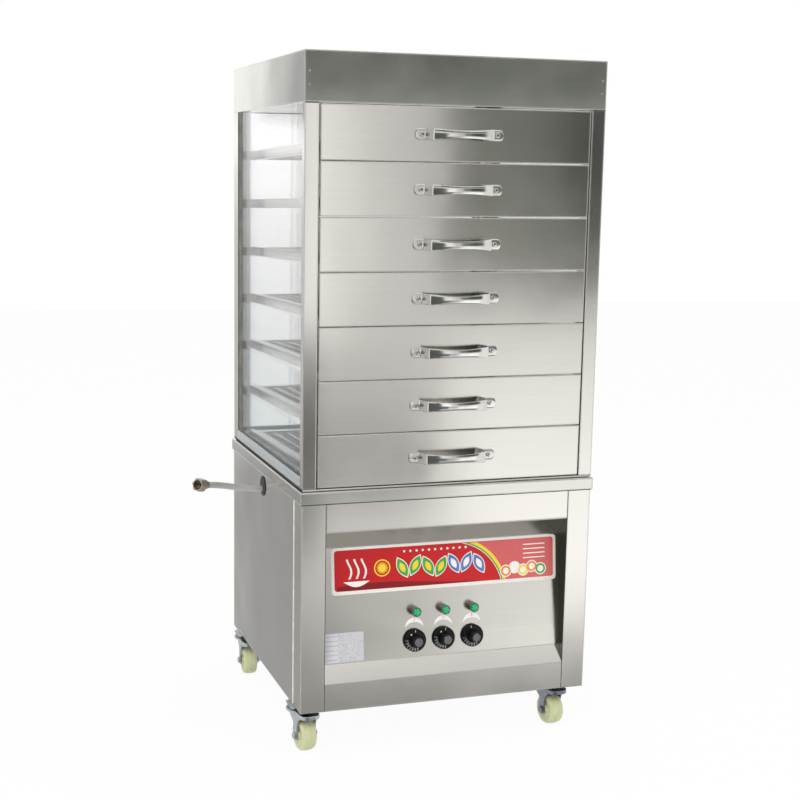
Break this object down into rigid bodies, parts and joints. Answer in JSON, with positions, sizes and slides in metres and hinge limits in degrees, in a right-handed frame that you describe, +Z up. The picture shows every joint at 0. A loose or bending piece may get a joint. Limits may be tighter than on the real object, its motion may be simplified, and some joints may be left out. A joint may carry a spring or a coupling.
{
  "type": "steam drawer cabinet",
  "caption": "Stainless steam cabinet with stacked pull-out tray drawers and glass sides on a wheeled boiler base with dials, lamps, float-fed tank and a braided inlet hose.",
  "frame": {"origin": "middle of the footprint on the floor, without the inlet hose", "axes": "+Z up, -Y out of the drawer fronts, +X to the right when facing the front"},
  "size_m": [0.7618, 0.632, 1.338],
  "materials": {
    "stainless_steel": "folded stainless sheet with a fine brushed grain",
    "polished_steel": "polished stainless",
    "zinc_plate": "bright zinc-plated pressed steel",
    "brass": "machined brass, partly nickel plated",
    "window_glass": "clear toughened glass",
    "black_rubber": "black rubber",
    "dial_plastic": "black moulded plastic",
    "wheel_nylon": "cream nylon",
    "lens_green": "clear green plastic",
    "lamp_chrome": "chrome-plated bezel",
    "printed_film": "printed plastic film",
    "label_film": "printed label film",
    "heater_steel": "heat-darkened stainless tube",
    "switch_plastic": "moulded switchgear plastic",
    "hose_braid": "stainless wire braid",
    "nickel_plate": "dull nickel plate on brass"
  },
  "bodies": {
    "cabinet": {"base_floor": "stainless_steel", "corner_stiles": "stainless_steel", "side_panel_left": "stainless_steel", "side_panel_right": "stainless_steel", "top_rail": "stainless_steel", "control_panel": "stainless_steel", "back_panel": "stainless_steel", "cable_gland": "dial_plastic", "worktop": "stainless_steel", "boiler_tank": "stainless_steel", "heating_elements": "heater_steel", "float_valve": "brass", "drain_valve": "brass", "contactor": "switch_plastic", "thermostats": "switch_plastic", "pilot_lamps": "lamp_chrome", "pilot_lenses": "lens_green", "dial_scales": "printed_film", "banner_plate": "printed_film", "rating_plate": "label_film", "cabinet_posts": "stainless_steel", "cabinet_sills": "stainless_steel", "glass_left": "window_glass", "glass_right": "window_glass", "glass_back": "window_glass", "cabinet_gasket": "black_rubber", "hood": "stainless_steel", "cabinet_ceiling": "stainless_steel", "drawer_runners": "stainless_steel", "castor_plates": "zinc_plate", "inlet_hose": "hose_braid", "inlet_hose_nut": "nickel_plate", "hose_grommet": "black_rubber"},
    "float": {"float_arm": "polished_steel"},
    "drain_handle": {"drain_lever": "zinc_plate"},
    "drawer_1_body": {"drawer_1": "stainless_steel", "drawer_handle_1": "polished_steel"},
    "drawer_2_body": {"drawer_2": "stainless_steel", "drawer_handle_2": "polished_steel"},
    "drawer_3_body": {"drawer_3": "stainless_steel", "drawer_handle_3": "polished_steel"},
    "drawer_4_body": {"drawer_4": "stainless_steel", "drawer_handle_4": "polished_steel"},
    "drawer_5_body": {"drawer_5": "stainless_steel", "drawer_handle_5": "polished_steel"},
    "drawer_6_body": {"drawer_6": "stainless_steel", "drawer_handle_6": "polished_steel"},
    "drawer_7_body": {"drawer_7": "stainless_steel", "drawer_handle_7": "polished_steel"},
    "knob_1_body": {"control_knob_1": "dial_plastic"},
    "knob_2_body": {"control_knob_2": "dial_plastic"},
    "knob_3_body": {"control_knob_3": "dial_plastic"},
    "castor_front_left_fork_body": {"castor_fork_front_left": "zinc_plate"},
    "castor_front_left_wheel_body": {"castor_wheel_front_left": "wheel_nylon"},
    "castor_front_right_fork_body": {"castor_fork_front_right": "zinc_plate"},
    "castor_front_right_wheel_body": {"castor_wheel_front_right": "wheel_nylon"},
    "castor_rear_left_fork_body": {"castor_fork_rear_left": "zinc_plate"},
    "castor_rear_left_wheel_body": {"castor_wheel_rear_left": "wheel_nylon"},
    "castor_rear_right_fork_body": {"castor_fork_rear_right": "zinc_plate"},
    "castor_rear_right_wheel_body": {"castor_wheel_rear_right": "wheel_nylon"}
  },
  "joints": [
    {"name": "drawer_1_slide", "type": "slide", "parent": "cabinet", "child": "drawer_1_body", "axis": [0, -0.9997, 0.0262], "range_m": [0, 0.42]},
    {"name": "drawer_2_slide", "type": "slide", "parent": "cabinet", "child": "drawer_2_body", "axis": [0, -0.9997, 0.0262], "range_m": [0, 0.42]},
    {"name": "drawer_3_slide", "type": "slide", "parent": "cabinet", "child": "drawer_3_body", "axis": [0, -0.9997, 0.0262], "range_m": [0, 0.42]},
    {"name": "drawer_4_slide", "type": "slide", "parent": "cabinet", "child": "drawer_4_body", "axis": [0, -0.9997, 0.0262], "range_m": [0, 0.42]},
    {"name": "drawer_5_slide", "type": "slide", "parent": "cabinet", "child": "drawer_5_body", "axis": [0, -0.9997, 0.0262], "range_m": [0, 0.42]},
    {"name": "drawer_6_slide", "type": "slide", "parent": "cabinet", "child": "drawer_6_body", "axis": [0, -0.9997, 0.0262], "range_m": [0, 0.42]},
    {"name": "drawer_7_slide", "type": "slide", "parent": "cabinet", "child": "drawer_7_body", "axis": [0, -0.9997, 0.0262], "range_m": [0, 0.42]},
    {"name": "control_knob_1_turn", "type": "hinge", "parent": "cabinet", "child": "knob_1_body", "pos_m": [-0.061, -0.26099, 0.21053], "axis": [0, 0.9947, -0.1028], "range_deg": [0, 280]},
    {"name": "control_knob_2_turn", "type": "hinge", "parent": "cabinet", "child": "knob_2_body", "pos_m": [0, -0.26099, 0.21053], "axis": [0, 0.9947, -0.1028], "range_deg": [0, 280]},
    {"name": "control_knob_3_turn", "type": "hinge", "parent": "cabinet", "child": "knob_3_body", "pos_m": [0.061, -0.26099, 0.21053], "axis": [0, 0.9947, -0.1028], "range_deg": [0, 280]},
    {"name": "float_arm_lift", "type": "hinge", "parent": "cabinet", "child": "float", "pos_m": [-0.1865, 0.028, 0.4665], "axis": [0, -1, 0], "range_deg": [0, 35]},
    {"name": "drain_lever_turn", "type": "hinge", "parent": "cabinet", "child": "drain_handle", "pos_m": [0.1315, 0.193, 0.066], "axis": [1, 0, 0], "range_deg": [0, 90]},
    {"name": "castor_front_left_swivel", "type": "hinge", "parent": "cabinet", "child": "castor_front_left_fork_body", "pos_m": [-0.283, -0.222, 0.08], "axis": [0, 0, 1], "continuous": true},
    {"name": "castor_front_left_roll", "type": "hinge", "parent": "castor_front_left_fork_body", "child": "castor_front_left_wheel_body", "pos_m": [-0.28032, -0.24384, 0.0315], "axis": [0.9925, 0.1219, 0], "continuous": true},
    {"name": "castor_front_right_swivel", "type": "hinge", "parent": "cabinet", "child": "castor_front_right_fork_body", "pos_m": [0.245, -0.222, 0.08], "axis": [0, 0, 1], "continuous": true},
    {"name": "castor_front_right_roll", "type": "hinge", "parent": "castor_front_right_fork_body", "child": "castor_front_right_wheel_body", "pos_m": [0.24768, -0.24384, 0.0315], "axis": [0.9925, 0.1219, 0], "continuous": true},
    {"name": "castor_rear_left_swivel", "type": "hinge", "parent": "cabinet", "child": "castor_rear_left_fork_body", "pos_m": [-0.283, 0.238, 0.08], "axis": [0, 0, 1], "continuous": true},
    {"name": "castor_rear_left_roll", "type": "hinge", "parent": "castor_rear_left_fork_body", "child": "castor_rear_left_wheel_body", "pos_m": [-0.28453, 0.21605, 0.0315], "axis": [0.9976, -0.0698, 0], "continuous": true},
    {"name": "castor_rear_right_swivel", "type": "hinge", "parent": "cabinet", "child": "castor_rear_right_fork_body", "pos_m": [0.245, 0.238, 0.08], "axis": [0, 0, 1], "continuous": true},
    {"name": "castor_rear_right_roll", "type": "hinge", "parent": "castor_rear_right_fork_body", "child": "castor_rear_right_wheel_body", "pos_m": [0.24346, 0.21605, 0.0315], "axis": [0.9976, -0.0698, 0], "continuous": true}
  ]
}
